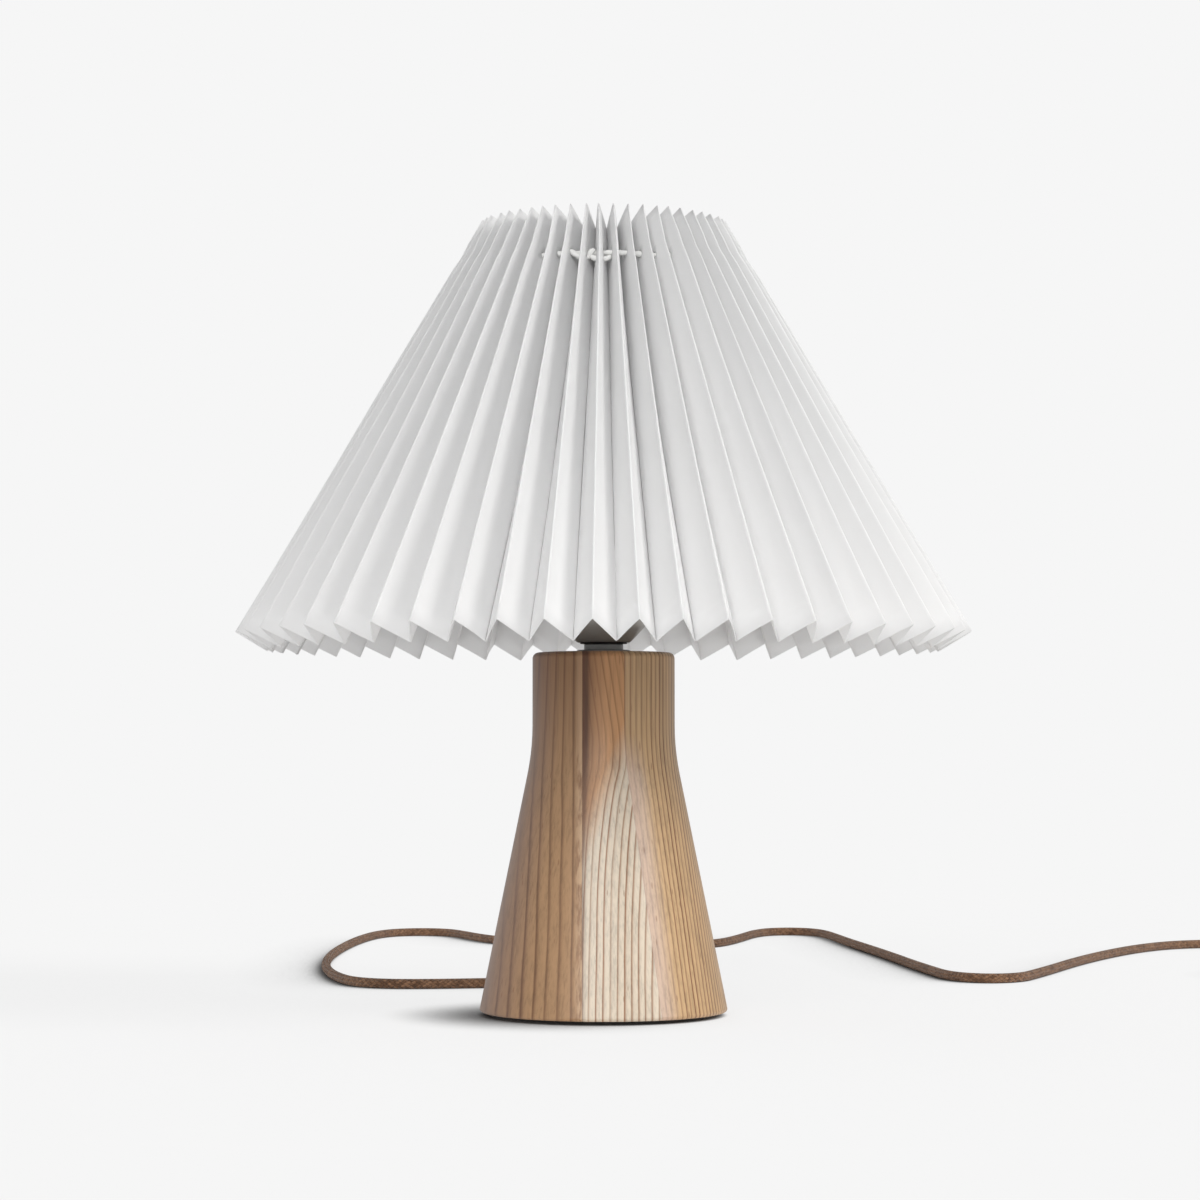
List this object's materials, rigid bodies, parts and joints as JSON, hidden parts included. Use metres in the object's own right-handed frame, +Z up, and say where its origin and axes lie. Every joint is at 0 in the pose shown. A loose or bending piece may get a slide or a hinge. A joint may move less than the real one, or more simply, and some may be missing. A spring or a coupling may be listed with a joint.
{
  "type": "pleated paper table lamp",
  "caption": "Table lamp with a turned wooden stand, a conical pleated paper shade laced at the top, a screw lampholder and a textile cord with switch and plug.",
  "frame": {"origin": "centre of the stand's foot, on the table", "axes": "+Z up along the lamp's axis, -Y to the front, the cord leaves at +Y"},
  "size_m": [0.5315, 0.6757, 0.323],
  "materials": {
    "wood": "satin lacquered ash",
    "felt": "matt felt",
    "steel": "brushed",
    "zinc": "zinc plated",
    "fibre": "matt",
    "holder_metal": "dark bronze, satin",
    "holder_plastic": "moulded, satin",
    "ceramic": "unglazed",
    "brass": "bare",
    "solder": "dull",
    "cap_glass": "glossy",
    "cap_metal": "nickel plated",
    "bulb_plastic": "satin",
    "bulb_opal": "frosted",
    "board": "white printed board",
    "chip": "phosphor",
    "driver": "printed board",
    "paper": "matt, folded",
    "lace": "waxed thread",
    "carrier": "white powder coat",
    "cord": "braided textile",
    "rubber": "matt",
    "lead_brown": "satin",
    "lead_blue": "satin",
    "switch_plastic": "moulded, satin",
    "plug_plastic": "moulded, satin",
    "pin_metal": "nickel plated"
  },
  "bodies": {
    "stand": {"wood_base": "wood", "base_pad": "felt", "stem_tube": "zinc", "bottom_washer": "zinc", "bottom_nut": "zinc", "top_washer": "steel", "lock_nut": "steel", "fibre_washer": "fibre", "holder_cup": "holder_metal", "cup_nut": "zinc", "holder_skirt": "holder_plastic", "terminal_block": "ceramic", "terminals": "brass", "terminal_screws": "zinc", "screw_shell": "brass", "centre_contact": "brass", "cord_bush": "rubber", "cord_grip_nut": "holder_plastic", "inner_cord": "cord", "lead_live": "lead_brown", "lead_neutral": "lead_blue", "cord_run": "cord", "cord_link": "cord", "cord_coil": "cord", "cord_tail": "cord", "switch_lower": "switch_plastic", "switch_upper": "switch_plastic", "switch_pin": "steel", "switch_contacts": "brass", "switch_leads": "lead_brown", "switch_screws": "steel", "plug_body": "plug_plastic", "plug_relief": "plug_plastic", "plug_pins": "pin_metal"},
    "shade": {"pleated_shade": "paper", "lacing_cord": "lace", "carrier_ring": "carrier", "carrier_arms": "carrier", "carrier_fitter": "carrier"},
    "ring": {"shade_ring": "holder_plastic"},
    "bulb_lift": {"bulb_globe": "bulb_opal"},
    "bulb": {"bulb_tip": "solder", "bulb_insulator": "cap_glass", "bulb_cap": "cap_metal", "bulb_housing": "bulb_plastic", "led_board": "board", "led_chips": "chip", "led_driver": "driver"},
    "rocker": {"switch_rocker": "switch_plastic"}
  },
  "joints": [
    {"name": "shade_turn", "type": "hinge", "parent": "stand", "child": "shade", "pos_m": [0, 0, 0.18], "axis": [0, 0, 1], "continuous": true},
    {"name": "ring_turn", "type": "hinge", "parent": "stand", "child": "ring", "pos_m": [0, 0, 0.185], "axis": [0, 0, 1], "range_deg": [0, 720]},
    {"name": "bulb_rise", "type": "slide", "parent": "stand", "child": "bulb_lift", "axis": [0, 0, 1], "range_m": [0, 0.0128]},
    {"name": "bulb_turn", "type": "hinge", "parent": "bulb_lift", "child": "bulb", "pos_m": [0, 0, 0.19], "axis": [0, 0, 1], "range_deg": [0, 1260]},
    {"name": "rocker_tip", "type": "hinge", "parent": "stand", "child": "rocker", "pos_m": [0.368, 0.321, 0.012], "axis": [-1, 0, 0], "range_deg": [0, 18]}
  ],
  "couplings": [
    {"joint": "bulb_rise", "follows": "bulb_turn", "m_per_rad": 0.00057757}
  ]
}
